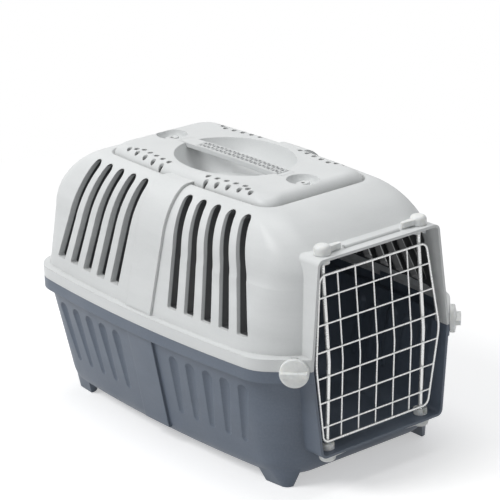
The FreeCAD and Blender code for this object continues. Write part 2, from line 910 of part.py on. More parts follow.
def make_base_tub():
    walls = base_walls()
    wall = size("shell_wall")
    body = feature("base_body", walls.body(walls.reach, 0.0, 0.0))
    band_body = feature("base_band_body", walls.skin(size("band_proud")))
    band_low = size("floor_height") + size("heel_height") / 2
    band = common("base_band", band_body, feature("base_band_slab", band_prism(band_low, walls.start)))
    rim = feature("base_rim", rim_slab(-1, 0.0, 0.0))
    tube = feature("base_portal_tube", portal(-1, 0.0, 0.0))
    mass = fuse("base_mass", body, band, rim, tube, feet("base_feet", walls, 0.0))

    cavity = feature("base_cavity", walls.body(walls.reach, wall, wall))
    hollow = cut("base_hollow", cavity, feature("base_flute_liners", flutes(walls, wall)))
    throat = feature("base_throat", walls.throat(wall))
    slab = feature("base_channel_slab", rim_slab(-1, size("rim_wall"), size("rim_wall")))
    channel = cut("base_channel", slab, tube)
    doorway = feature("base_doorway", portal(-1, size("portal_wall"), size("portal_wall")))
    foot_hollows = feet("base_foot_hollows", walls, wall)
    hollowed = cut("base_hollowed", mass, fuse("base_voids", hollow, throat, channel, doorway, foot_hollows))
    tools = fuse(
        "base_openings",
        feature("base_flutes", flutes(walls, 0.0)),
        feature("base_latch_hole", latch_hole(-1)),
        feature("base_knob_hole", knob_hole()),
    )
    opened = cut("base_opened", hollowed, tools)
    return mirror_joined("base_tub", fuse("base_half", opened, feature("base_rim_tabs", rim_tabs())))


SIDES = (("left", -1), ("right", 1))
LEVELS = (("upper", 1), ("lower", -1))
ENDS = (("rear", -1), ("front", 1))


# Pieces drawn as sketches.


def new_body(name):
    made = doc.addObject("PartDesign::Body", name)
    made.Label = name
    return made


def new_sketch(body, name, role):
    """Sketch on one of the body's own origin planes."""
    made = body.newObject("Sketcher::SketchObject", name)
    plane = [item for item in body.Origin.OriginFeatures if item.Role == role][0]
    made.AttachmentSupport = (plane, "")
    made.MapMode = "FlatFace"
    return made


def tie(sketch, curve, end, across, up):
    """Tie one end of a curve to its distances from the sketch's origin."""
    for kind, axis, length in (("DistanceX", -2, across), ("DistanceY", -1, up)):
        if length is ZERO:
            sketch.addConstraint(Sketcher.Constraint("PointOnObject", curve, end, axis))
        elif length.value > 0:
            number = sketch.addConstraint(Sketcher.Constraint(kind, -1, 1, curve, end, length.value))
            bind(sketch, "Constraints[%d]" % number, length)
        else:
            number = sketch.addConstraint(Sketcher.Constraint(kind, curve, end, -1, 1, -length.value))
            bind(sketch, "Constraints[%d]" % number, ZERO - length)


def draw(sketch, points, arcs):
    """Closed outline, anticlockwise through points. Sides listed in arcs are round, with a radius and 1 where
    they bulge or -1 where they hollow."""
    count = len(points)
    ends = []
    for index in range(count):
        start = Vector(*[length.value for length in points[index]])
        finish = Vector(*[length.value for length in points[(index + 1) % count]])
        if index not in arcs:
            ends.append((sketch.addGeometry(Part.LineSegment(start, finish)), 1, 2))
            continue
        radius, bulge = arcs[index]
        first, last = (start, finish) if bulge > 0 else (finish, start)
        chord = last - first
        left = Vector(-chord.y, chord.x, 0).normalize()
        height = math.sqrt(max(0.0, radius.value**2 - chord.Length**2 / 4))
        centre = (first + last) * 0.5 + left * height
        angles = [math.atan2(point.y - centre.y, point.x - centre.x) for point in (first, last)]
        circle = Part.Circle(centre, Vector(0, 0, 1), radius.value)
        curve = sketch.addGeometry(Part.ArcOfCircle(circle, *angles))
        number = sketch.addConstraint(Sketcher.Constraint("Radius", curve, radius.value))
        bind(sketch, "Constraints[%d]" % number, radius)
        ends.append((curve, 1, 2) if bulge > 0 else (curve, 2, 1))
    for index in range(count):
        curve, start, finish = ends[index]
        following, following_start, following_finish = ends[(index + 1) % count]
        sketch.addConstraint(Sketcher.Constraint("Coincident", curve, finish, following, following_start))
        tie(sketch, curve, start, *points[index])


def pad(body, name, sketch, length, side_type):
    made = body.newObject("PartDesign::Pad", name)
    made.Profile = sketch
    made.SideType = side_type
    bind(made, "Length", length)
    return made


def turned(body, name, sketch):
    """Solid of revolution about the upright axis of a sketch."""
    made = body.newObject("PartDesign::Revolution", name)
    made.Profile = sketch
    made.ReferenceAxis = (sketch, ["V_Axis"])
    return made


def arch_radius(half_chord, rise):
    return (half_chord.times(half_chord) + rise.times(rise)).over(rise * 2)


def place(item, x, y, z, rotation):
    item.Placement = Placement(Vector(x.value, y.value, z.value), rotation)
    for slot, length in (("x", x), ("y", y), ("z", z)):
        bind(item, "Placement.Base." + slot, length)
    return item


def cylinder(name, radius, height, low):
    made = doc.addObject("Part::Cylinder", name)
    bind(made, "Radius", radius)
    bind(made, "Height", height)
    return place(made, ZERO, ZERO, low, Rotation())


def make_carry_handle():
    """Arched bar over the finger well, standing on a pad at each end."""
    body = new_body("carry_handle")
    inner = named("well_half_length")
    outer = inner + named("handle_pad")
    pad_thick = named("handle_pad_thick")
    hollow = named("handle_rise") - named("handle_thick")
    sketch = new_sketch(body, "carry_handle_profile", "XZ_Plane")
    points = [
        (ZERO - outer, ZERO),
        (ZERO - inner, ZERO),
        (inner, ZERO),
        (outer, ZERO),
        (outer, pad_thick),
        (ZERO - outer, pad_thick),
    ]
    arcs = {
        1: (arch_radius(inner, hollow), -1),
        4: (arch_radius(outer, named("handle_rise") - pad_thick), 1),
    }
    draw(sketch, points, arcs)
    pad(body, "carry_handle_bar", sketch, named("handle_width"), "Symmetric")
    seat = crest() - pad_thick
    return place(body, named("body_middle"), ZERO, seat, Rotation())


def make_lug(name, side):
    """Strap lug on the floor of a roof pocket: a round-ended tongue with an upright eye."""
    low = crest() - named("pocket_depth")
    height = named("lug_height")
    half_width = named("lug_width") * 0.5
    straight = named("lug_length") * 0.5 - half_width
    bar = doc.addObject("Part::Box", name + "_bar")
    bind(bar, "Length", named("lug_width"))
    bind(bar, "Width", straight * 2)
    bind(bar, "Height", height)
    place(bar, ZERO - half_width, ZERO - straight, ZERO, Rotation())
    ends = []
    for word, way in SIDES:
        end = cylinder("%s_end_%s" % (name, word), half_width, height, ZERO)
        ends.append(place(end, ZERO, straight * way, ZERO, Rotation()))
    solid = fuse(name + "_solid", bar, *ends)
    eye = cylinder(name + "_eye", named("lug_eye_radius"), height, ZERO)
    lug = cut(name, solid, eye)
    return place(lug, named("body_middle") + named("pocket_reach") * side, ZERO, low, Rotation())


# Door.


def door_span(way):
    """Height of the door's frame above (way 1) or below the split."""
    if way > 0:
        return named("portal_top") - named("door_gap_top") - named("seam_height")
    return named("seam_height") - named("portal_bottom") - named("door_gap_bottom")


def door_share(way, offset):
    """1 at the split, falling to 0 at the frame's top or bottom wire."""
    return ONE - offset.over(door_span(way))


def door_depth(way, offset):
    """Distance along X of the rods' centre line."""
    axis = named("portal_front") - named("rod_setback")
    return axis + named("door_bow").times(door_share(way, offset))


def door_half(way, offset):
    """Half the frame's width, to the middle of its wire."""
    spread = named("door_half_seam") - named("door_half_end")
    return named("door_half_end") + spread.times(door_share(way, offset))


def bent_wire(name, radius, points, radii, rotation):
    """Round wire along a path whose corners are bent to radii. The section lies at the first point."""
    path = feature(name + "_path", rounded(points, radii, closed=False))
    section = doc.addObject("Part::Circle", name + "_section")
    bind(section, "Radius", named(radius))
    section.Placement = Placement(points[0], rotation)
    made = doc.addObject("Part::Sweep", name)
    made.Sections = [section]
    made.Spine = (path, ["Edge%d" % number for number in range(1, len(path.Shape.Edges) + 1)])
    made.Solid = True
    made.Frenet = False
    return made


def bowed_points(y, set_back, past):
    """Points of an upright wire that follows the door's bow, with its ends past the frame."""
    seam = size("seam_height")
    points = []
    for way in (1, -1):
        offset = door_span(way).value + past
        tip_depth = door_depth(way, door_span(way) + Length(past, "%r" % past)).value
        points.append(Vector(tip_depth - set_back, y, seam + way * offset))
    crest = Vector(door_depth(1, ZERO).value - set_back, y, seam)
    return [points[0], crest, points[1]]


def make_rod(name, side):
    """Outer upright whose straight ends are the pins that sit in the latch cups."""
    seam = size("seam_height")
    y = side * size("rod_half_span")
    inset = size("portal_wall") + size("latch_seat_gap") + size("cup_web") + size("pin_end_gap")
    top, middle, bottom = bowed_points(y, 0.0, 0.0)
    high = Vector(top.x, y, size("portal_top") - inset)
    low = Vector(bottom.x, y, size("portal_bottom") + inset)
    points = [high, top, middle, bottom, low]
    bend = size("door_bend_radius")
    return bent_wire(name, "rod_radius", points, [0, bend, bend, bend, 0], Rotation())


def make_upright(name, number):
    """Thin upright behind the cross wires."""
    y = (number - (size("upright_count") + 1) / 2) * size("upright_pitch")
    set_back = size("bar_radius") - size("rod_radius")
    points = bowed_points(y, set_back, size("upright_end"))
    return bent_wire(name, "bar_radius", points, [0, size("door_bend_radius"), 0], Rotation())


def make_frame():
    """Six-sided outer wire of the door, in front of the uprights."""
    front = Vector(size("rod_radius") + size("frame_radius") - size("weld_sink"), 0, 0)
    half_end = Vector(0, -size("door_half_end"), 0)
    top, middle, bottom = [point + front for point in bowed_points(0.0, 0.0, 0.0)]
    side = middle - Vector(0, size("door_half_seam"), 0)
    corner = size("frame_corner")
    half = bent_wire(
        "door_frame_half",
        "frame_radius",
        [top, top + half_end, side, bottom + half_end, bottom],
        [0, corner, size("door_bend_radius"), corner, 0],
        Rotation(Vector(1, 0, 0), 90),
    )
    return mirror_joined("door_frame", half)


def make_cross_wire(name, number):
    """Straight wire in front of the uprights, butted against the frame at both ends."""
    step = number - (size("cross_wire_count") + 1) / 2
    way = 1 if step > 0 else -1
    offset = named("cross_wire_pitch") * abs(step)
    reach = door_half(way, offset) - named("frame_radius") + named("weld_sink")
    depth = door_depth(way, offset) + named("rod_radius") - named("weld_sink") + named("bar_radius")
    wire = cylinder(name, named("bar_radius"), reach * 2, ZERO)
    height = named("seam_height") + offset * way
    return place(wire, depth, ZERO - reach, height, Rotation(Vector(1, 0, 0), -90))


# Twist latches.


def seat_latch(item, way, side):
    """Put a latch piece on its corner of the doorway: its local Z points out of the doorway's wall."""
    turn = Rotation(Vector(0, 0, 1), -90 * side)
    flip = Rotation(Vector(1, 0, 0), 0 if way > 0 else 180)
    return place(
        item,
        named("portal_front") - named("rod_setback"),
        named("rod_half_span") * side,
        named("portal_top") if way > 0 else named("portal_bottom"),
        turn * flip,
    )


def make_lever(name, way, side):
    """Dome with a blind bore for the cup's key, and the blade that turns it."""
    body = new_body(name)
    gap = named("latch_seat_gap")
    key = named("latch_key_radius")
    radius = named("latch_dome_radius")
    edge = named("latch_dome_round")
    top = gap + named("latch_dome_height")
    bore_end = gap + named("latch_key_depth")
    profile = new_sketch(body, name + "_profile", "XZ_Plane")
    points = [
        (key, gap),
        (radius, gap),
        (radius, top - edge),
        (radius - edge, top),
        (ZERO, top),
        (ZERO, bore_end),
        (key, bore_end),
    ]
    draw(profile, points, {2: (edge, 1)})
    turned(body, name + "_dome", profile)
    plan = new_sketch(body, name + "_plan", "XY_Plane")
    bind(plan, "AttachmentOffset.Base.z", gap + named("latch_blade_lift"))
    root = named("latch_shank_radius")
    half_width = named("latch_blade_width") * 0.5
    half_tip = named("latch_tip_width") * 0.5
    crown = named("latch_tip_crown")
    reach = named("latch_blade_reach") - crown
    corners = [
        (root, ZERO - half_width),
        (reach, ZERO - half_tip),
        (reach, half_tip),
        (root, half_width),
    ]
    draw(plan, corners, {1: (arch_radius(half_tip, crown), 1)})
    pad(body, name + "_blade", plan, named("latch_blade_thick"), "One side")
    return seat_latch(body, way, side)


def make_cup(name, way, side):
    """Shank through the doorway's wall, with a key for the lever above it and a slotted cup below."""
    gap = named("latch_seat_gap")
    under = ZERO - named("portal_wall") - gap
    height = named("cup_height")
    depth = height - named("cup_web")
    low = under - height
    key = cylinder(name + "_key", named("latch_key_radius"), named("latch_key_depth"), gap)
    shank = cylinder(name + "_shank", named("latch_shank_radius"), gap - under, under)
    drum = cylinder(name + "_drum", named("cup_radius"), height, low)
    bore = cylinder(name + "_bore", named("rod_radius") + named("pin_clearance"), depth, low)
    mouth = doc.addObject("Part::Box", name + "_mouth")
    length = named("cup_radius") + named("cup_mouth_half")
    bind(mouth, "Length", named("cup_mouth_half") * 2)
    bind(mouth, "Width", length)
    bind(mouth, "Height", depth)
    place(mouth, ZERO - named("cup_mouth_half"), ZERO if way > 0 else ZERO - length, low, Rotation())
    solid = fuse(name + "_solid", key, shank, drum)
    return seat_latch(cut(name, solid, fuse(name + "_void", bore, mouth)), way, side)


# Clamp knobs.


def seat_knob(item, side):
    """Put a knob piece on its corner of the rim: its local Z points out of the slanted face."""
    point, axis = knob_seat(side)
    along = axis.cross(Vector(0, 0, -1))
    back = named("knob_from_corner") * math.sqrt(0.5)
    return place(
        item,
        named("portal_front") - back,
        (named("portal_half_seam") + back) * side,
        named("seam_height"),
        Rotation(along, Vector(0, 0, 1), axis, "ZXY"),
    )


def make_knob(name, side):
    """Crowned disc with a grip bar across it, and the shank that carries the clamp plate."""
    body = new_body(name)
    gap = named("knob_seat_gap")
    under = ZERO - named("rim_wall") - gap
    shank = named("knob_shank_radius")
    key = named("clamp_key_radius")
    radius = named("knob_radius")
    edge = named("knob_edge")
    top = gap + named("knob_thick")
    shoulder = top - named("knob_crown")
    profile = new_sketch(body, name + "_profile", "XZ_Plane")
    points = [
        (ZERO, under - named("clamp_thick")),
        (key, under - named("clamp_thick")),
        (key, under),
        (shank, under),
        (shank, gap),
        (radius, gap),
        (radius, shoulder - edge),
        (radius - edge, shoulder),
        (ZERO, top),
    ]
    arcs = {6: (edge, 1), 7: (arch_radius(radius - edge, named("knob_crown")), 1)}
    draw(profile, points, arcs)
    turned(body, name + "_disc", profile)
    section = new_sketch(body, name + "_section", "YZ_Plane")
    half_low = named("knob_bar_width") * 0.5
    half_high = half_low - named("knob_bar_draft")
    high = top + named("knob_bar_height")
    draw(
        section,
        [(ZERO - half_low, gap), (half_low, gap), (half_high, high), (ZERO - half_high, high)],
        {},
    )
    pad(body, name + "_bar", section, (radius - named("knob_bar_inset")) * 2, "Symmetric")
    return seat_knob(body, side)


def make_clamp(name, side):
    """Plate behind the rim that the knob draws against both shells."""
    low = ZERO - named("rim_wall") - named("knob_seat_gap") - named("clamp_thick")
    plate = cylinder(name + "_plate", named("clamp_radius"), named("clamp_thick"), low)
    eye = cylinder(name + "_eye", named("clamp_key_radius"), named("clamp_thick"), low)
    return seat_knob(cut(name, plate, eye), side)


nodes = [make_top_shell(), make_base_tub(), make_carry_handle(), make_frame()]
nodes += [make_lug("strap_lug_" + word, side) for word, side in ENDS]
nodes += [make_rod("door_rod_" + word, side) for word, side in SIDES]
for number in range(1, int(size("cross_wire_count")) + 1):
    nodes.append(make_cross_wire("door_wire_%d" % number, number))
for number in range(1, int(size("upright_count")) + 1):
    nodes.append(make_upright("door_upright_%d" % number, number))
for level, way in LEVELS:
    for word, side in SIDES:
        nodes.append(make_lever("latch_lever_%s_%s" % (level, word), way, side))
        nodes.append(make_cup("latch_cup_%s_%s" % (level, word), way, side))
for word, side in SIDES:
    nodes.append(make_knob("side_knob_" + word, side))
    nodes.append(make_clamp("knob_clamp_" + word, side))
doc.recompute()

faults = [item.Name for item in doc.Objects if "Invalid" in item.State or "Error" in item.State]
if faults:
    raise RuntimeError("not built: " + ", ".join(faults))
for node in nodes:
    if node.Shape.isNull() or not node.Shape.isValid() or len(node.Shape.Solids) != 1:
        raise RuntimeError("no single sound solid: " + node.Label)
os.makedirs("parts", exist_ok=True)
for node in nodes:
    node.Shape.exportStep("parts/%s.step" % node.Label)
    print(node.Label, round(node.Shape.Volume, 1))
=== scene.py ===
import math

import bmesh
import bpy
from mathutils import Matrix, Vector
from mathutils.bvhtree import BVHTree


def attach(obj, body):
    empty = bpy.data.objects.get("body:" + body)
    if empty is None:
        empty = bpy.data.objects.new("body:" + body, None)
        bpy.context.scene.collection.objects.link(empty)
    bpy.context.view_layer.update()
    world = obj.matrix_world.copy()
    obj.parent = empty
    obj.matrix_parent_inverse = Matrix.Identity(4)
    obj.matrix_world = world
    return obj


# A two-shell pet carrier: finishes for the CAD nodes, the ribbed grip of the handle, and a white studio.
# Lengths are metres in the part's frame: +X out of the door, +Z up, feet on Z = 0.

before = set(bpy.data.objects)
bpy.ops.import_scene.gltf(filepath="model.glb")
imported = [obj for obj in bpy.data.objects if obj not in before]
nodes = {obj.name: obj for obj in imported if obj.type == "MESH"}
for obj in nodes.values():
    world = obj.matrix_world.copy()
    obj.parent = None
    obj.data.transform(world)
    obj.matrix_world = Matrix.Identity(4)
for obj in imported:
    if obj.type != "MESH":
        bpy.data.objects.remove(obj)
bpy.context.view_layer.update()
scene = bpy.context.scene


# Camera at the photograph's viewing angle.

PICTURE_PX = 500.0
FOCAL_PX = 2345.6
SENSOR_WIDTH = 36.0
AZIMUTH = math.radians(51.87)
ELEVATION = math.radians(19.82)
ROLL = math.radians(-2.09)
TARGET = Vector((0.00819, 0.0, 0.20733))
DISTANCE = 2.7448
VIEW_END = 50.0


def make_camera():
    data = bpy.data.cameras.new("camera")
    data.sensor_width = SENSOR_WIDTH
    data.lens = FOCAL_PX / PICTURE_PX * SENSOR_WIDTH
    data.clip_end = VIEW_END
    camera = bpy.data.objects.new("camera", data)
    scene.collection.objects.link(camera)
    away = Vector((math.cos(ELEVATION) * math.sin(AZIMUTH),
                   -math.cos(ELEVATION) * math.cos(AZIMUTH),
                   math.sin(ELEVATION)))
    right = Vector((math.cos(AZIMUTH), math.sin(AZIMUTH), 0.0))
    up = away.cross(right)
    right_rolled = math.cos(ROLL) * right + math.sin(ROLL) * up
    up_rolled = -math.sin(ROLL) * right + math.cos(ROLL) * up
    turn = Matrix((right_rolled, up_rolled, away)).transposed()
    camera.matrix_world = Matrix.Translation(TARGET + DISTANCE * away) @ turn.to_4x4()
    scene.camera = camera


make_camera()
scene.view_settings.view_transform = "Standard"


# Node trees.

class Graph:
    """A material's or world's node tree, cleared, with short calls to add and link nodes."""

    def __init__(self, tree):
        self.tree = tree
        tree.nodes.clear()

    def feed(self, socket, value):
        """Links a socket to another one, or sets it to a constant."""
        if isinstance(value, bpy.types.NodeSocket):
            self.tree.links.new(value, socket)
        else:
            socket.default_value = value

    def add(self, kind, inputs=None, **settings):
        made = self.tree.nodes.new(kind)
        for name, value in settings.items():
            setattr(made, name, value)
        for key, value in (inputs or {}).items():
            self.feed(made.inputs[key], value)
        return made

    def math(self, operation, a, b=0.0, clamp=False):
        made = self.add("ShaderNodeMath", {0: a, 1: b}, operation=operation, use_clamp=clamp)
        return made.outputs[0]

    def ramp(self, factor, low, high, start=0.0, end=1.0):
        """Runs from low to high, as numbers, while factor runs from start to end."""
        made = self.add("ShaderNodeMapRange", {"Value": factor, "From Min": start, "From Max": end,
                                               "To Min": low, "To Max": high})
        return made.outputs["Result"]

    def mix(self, factor, a, b):
        """Runs from colour a to colour b while factor runs from 0 to 1."""
        made = self.add("ShaderNodeMix", data_type="RGBA")
        for index, value in ((0, factor), (6, a), (7, b)):
            self.feed(made.inputs[index], value)
        return made.outputs[2]

    def noise(self, vector, scale, detail=2.0, roughness=0.5):
        made = self.add("ShaderNodeTexNoise", {"Vector": vector, "Scale": scale, "Detail": detail,
                                               "Roughness": roughness})
        return made.outputs["Fac"]

    def stretched(self, vector, scale, rotation=(0.0, 0.0, 0.0)):
        made = self.add("ShaderNodeMapping", {"Vector": vector, "Scale": scale, "Rotation": rotation})
        return made.outputs[0]

    def bump(self, strength, distance, height, normal=None):
        made = self.add("ShaderNodeBump", {"Strength": strength, "Distance": distance, "Height": height})
        if normal is not None:
            self.feed(made.inputs["Normal"], normal)
        return made.outputs[0]

    def axes(self, vector):
        return self.add("ShaderNodeSeparateXYZ", {0: vector}).outputs


def rgb(red, green, blue):
    """A colour written as 0..255 screen values, as the linear values that shaders take."""
    def linear(value):
        value /= 255.0
        return value / 12.92 if value <= 0.04045 else ((value + 0.055) / 1.055) ** 2.4
    return (linear(red), linear(green), linear(blue), 1.0)


def new_material(name):
    material = bpy.data.materials.new(name)
    material.use_nodes = True
    return material, Graph(material.node_tree)


def edge_mask(g, radius):
    """The softened edge normal, and a 0..1 value that rises along sharp edges."""
    bevel = g.add("ShaderNodeBevel", {"Radius": radius}, samples=4)
    normal = g.add("ShaderNodeNewGeometry").outputs["Normal"]
    dot = g.add("ShaderNodeVectorMath", {0: bevel.outputs[0], 1: normal}, operation="DOT_PRODUCT")
    return bevel.outputs[0], g.ramp(dot.outputs["Value"], 1.0, 0.0, 0.80, 0.995)


# Cabin side of the upper shell, told from the outside by place and direction; these faces get painted shade.

# Side wall: it leaves the rim, leans in, and turns over at the shoulder.
WALL_FOOT = 0.166
WALL_REACH = 0.142
WALL_HALF_WIDTH = 0.119
WALL_LEAN = 0.034
SHOULDER_FOOT = 0.252
SHOULDER_HEIGHT = 0.056
SHOULDER_SIDE = 0.028
# Bow of the wall, which is widest further back as it rises and comes forward again near the roof.
BOW_RADIUS = 1.9
BOW_LAG = 0.045
LAG_GROWTH = 1.65
LAG_DECLINE = 2.54
BOW_SHIFT = 0.012
# Slots: how far the light tone goes into them behind and before mid-length before painted shade starts, and
# where the two groups end.
BODY_MIDDLE = -0.013
LIP_REAR = 0.0080
LIP_FRONT = 0.0042
LIP_FADE = 0.0012
SLOT_FOOT = 0.181
SLOT_LEAN = 0.295
SLOTS_FRONT = 0.176
SLOTS_REAR = -0.200
# Cabin: the room behind the doorway, above the rim and below the roof, around the finger well.
CABIN_FRONT = 0.186
CABIN_FOOT = 0.172
CABIN_TOP = 0.300
CEILING_FOOT = 0.20
END_REACH = 0.20
WELL_HALF_LENGTH = 0.089
WELL_HALF_WIDTH = 0.068


def slot_depth(g, at):
    """How deep a point lies behind the outer face of the upper shell's bowed, leaning side walls."""
    run = g.math("DIVIDE", g.math("SUBTRACT", at["Z"], WALL_FOOT), WALL_REACH)
    turn = g.math("DIVIDE", g.math("SUBTRACT", at["Z"], SHOULDER_FOOT), SHOULDER_HEIGHT)
    turn = g.math("MAXIMUM", turn, 0.0)
    left = g.math("SUBTRACT", 1.0, g.math("MULTIPLY", turn, turn))
    fall = g.math("SQRT", g.math("MAXIMUM", left, 0.0))
    half = g.math("SUBTRACT", WALL_HALF_WIDTH, g.math("MULTIPLY", run, WALL_LEAN))
    half = g.math("ADD", half, g.math("MULTIPLY", fall, SHOULDER_SIDE))
    growing = g.math("MULTIPLY", run, LAG_GROWTH)
    declining = g.math("MULTIPLY", g.math("SUBTRACT", 1.0, run), LAG_DECLINE)
    lag = g.math("MULTIPLY", g.math("MINIMUM", growing, declining), BOW_LAG)
    along = g.math("ADD", at["X"], g.math("ADD", lag, g.math("MULTIPLY", run, BOW_SHIFT)))
    sag = g.math("DIVIDE", g.math("MULTIPLY", along, along), 2 * BOW_RADIUS)
    return g.math("SUBTRACT", g.math("SUBTRACT", half, sag), g.math("ABSOLUTE", at["Y"]))


def slot_shade_mask(g, at):
    """1 inside the air slots, further in than the light tone of their lips goes: where shade is painted."""
    before_middle = g.math("GREATER_THAN", at["X"], BODY_MIDDLE)
    lip = g.add("ShaderNodeMix", {0: before_middle, 2: LIP_REAR, 3: LIP_FRONT}).outputs[0]
    deep = g.ramp(g.math("SUBTRACT", slot_depth(g, at), lip), 0.0, 1.0, 0.0, LIP_FADE)
    lean = g.math("MULTIPLY", g.math("SUBTRACT", at["Z"], SLOT_FOOT), SLOT_LEAN)
    behind_front = g.math("LESS_THAN", g.math("ADD", at["X"], lean), SLOTS_FRONT)
    before_rear = g.math("GREATER_THAN", g.math("SUBTRACT", at["X"], lean), SLOTS_REAR)
    return g.math("MULTIPLY", deep, g.math("MULTIPLY", behind_front, before_rear))


def outside_well(g, at):
    """1 away from the oval finger well, whose walls hang into the cabin but belong to the outside and get no
    painted shade.
    """
    along = g.math("DIVIDE", g.math("SUBTRACT", at["X"], BODY_MIDDLE), WELL_HALF_LENGTH)
    across = g.math("DIVIDE", at["Y"], WELL_HALF_WIDTH)
    reach = g.math("ADD", g.math("MULTIPLY", along, along), g.math("MULTIPLY", across, across))
    return g.math("GREATER_THAN", reach, 1.0)


def cabin_shade_mask(g, place, normal):
    """1 on the upper shell's faces that look into the cabin, from their place and the way they face: where
    shade is painted.
    """
    at = g.axes(place)
    way = g.axes(normal)
    out_side = g.math("MULTIPLY", way["Y"], g.math("SIGN", at["Y"]))
    out_end = g.math("MULTIPLY", way["X"], g.math("SIGN", at["X"]))
    side = g.math("MAXIMUM", g.ramp(out_side, 1.0, 0.0, -0.45, -0.25), slot_shade_mask(g, at))
    side = g.math("MULTIPLY", side, g.math("LESS_THAN", at["Z"], CABIN_TOP))
    side = g.math("MULTIPLY", side, outside_well(g, at))
    high = g.math("GREATER_THAN", at["Z"], CEILING_FOOT)
    ceiling = g.math("MULTIPLY", g.ramp(way["Z"], 1.0, 0.0, -0.60, -0.40), high)
    far = g.math("GREATER_THAN", g.math("ABSOLUTE", at["X"]), END_REACH)
    end = g.math("MULTIPLY", g.ramp(out_end, 1.0, 0.0, -0.60, -0.40), far)
    behind_door = g.math("LESS_THAN", at["X"], CABIN_FRONT)
    in_cabin = g.math("MULTIPLY", behind_door, g.math("GREATER_THAN", at["Z"], CABIN_FOOT))
    return g.math("MULTIPLY", g.math("MAXIMUM", g.math("MAXIMUM", side, ceiling), end), in_cabin)


# Finishes.

def moulded_plastic(name, colour, worn, grime_and_shade_tone, grain=1.0, gloss=0.42, cabin=None):
    """Injection-moulded polypropylene: spark-eroded grain, flow mottling, rubbed edges, settled dust, fine
    scuffs, painted shade and grime in closed-in corners, and painted shade on the cabin side where a shade
    colour is given."""
    material, g = new_material(name)
    place = g.add("ShaderNodeTexCoord").outputs["Object"]
    normal = g.add("ShaderNodeNewGeometry").outputs["Normal"]
    edge_normal, edge = edge_mask(g, 0.0016)

    grain_fine = g.noise(place, 1500.0, 2.0, 0.6)
    grain_soft = g.noise(place, 420.0, 3.0, 0.55)
    flow = g.noise(g.stretched(place, (5.0, 5.0, 26.0), (0.10, 0.06, 0.0)), 1.0, 4.0, 0.55)
    mottle = g.noise(place, 22.0, 3.0, 0.5)

    scratches = g.noise(g.stretched(place, (34.0, 34.0, 900.0), (0.35, 0.55, 0.2)), 1.0, 2.0, 0.6)
    scuff_lines = g.ramp(scratches, 0.0, 1.0, 0.69, 0.76)
    scuff_patch = g.ramp(g.noise(place, 7.0, 2.0, 0.5), 0.0, 1.0, 0.50, 0.68)
    scuff = g.math("MULTIPLY", scuff_lines, scuff_patch, clamp=True)

    lying = g.ramp(g.axes(normal)["Z"], 0.0, 1.0, 0.55, 1.0)
    dust = g.math("MULTIPLY", lying, g.ramp(mottle, 0.0, 0.22, 0.42, 0.66))
    # Painted shade and grime: closed-in corners found by ambient occlusion darken in blotches.
    corner = g.add("ShaderNodeAmbientOcclusion", {"Distance": 0.012}, samples=4, only_local=True)
    closed_in = g.ramp(corner.outputs["AO"], 1.0, 0.0, 0.25, 0.8)
    grime_and_shade = g.math("MULTIPLY", closed_in, g.ramp(mottle, 0.25, 0.6, 0.3, 0.7))

    deeper = tuple(c * 0.93 for c in colour[:3]) + (1.0,)
    paler = tuple(min(1.0, c * 1.045) for c in colour[:3]) + (1.0,)
    shade = g.mix(g.ramp(flow, 0.0, 1.0, 0.32, 0.68), deeper, paler)
    shade = g.mix(g.ramp(grain_soft, 0.0, 0.10, 0.40, 0.62), shade, worn)
    shade = g.mix(g.math("MULTIPLY", edge, g.ramp(mottle, 0.10, 0.50, 0.35, 0.65)), shade, worn)
    shade = g.mix(dust, shade, worn)
    shade = g.mix(g.math("MULTIPLY", scuff, 0.35), shade, worn)
    # Painted shade and grime darken the closed-in corners.
    shade = g.mix(grime_and_shade, shade, grime_and_shade_tone)
    if cabin:
        # Painted shade: cabin-facing faces and slot depths take the dark cabin colour.
        shade = g.mix(g.math("MULTIPLY", cabin_shade_mask(g, place, normal), 0.92), shade, cabin)

    unevenness = g.math("ADD", mottle, g.math("MULTIPLY", grain_soft, 0.5))
    polish = g.ramp(unevenness, gloss - 0.06, gloss + 0.09, 0.5, 1.0)
    polish = g.math("ADD", polish, g.math("MULTIPLY", scuff, 0.12), clamp=True)
    polish = g.math("SUBTRACT", polish, g.math("MULTIPLY", edge, 0.08), clamp=True)

    surface = g.bump(0.20 * grain, 0.00012, grain_fine, edge_normal)
    surface = g.bump(0.16 * grain, 0.0003, grain_soft, surface)
    surface = g.bump(0.10, 0.0020, mottle, surface)
    shader = g.add("ShaderNodeBsdfPrincipled", {"Base Color": shade, "Roughness": polish, "Normal": surface,
                                                "IOR": 1.49, "Specular IOR Level": 0.45})
    g.add("ShaderNodeOutputMaterial", {"Surface": shader.outputs[0]})
    return material


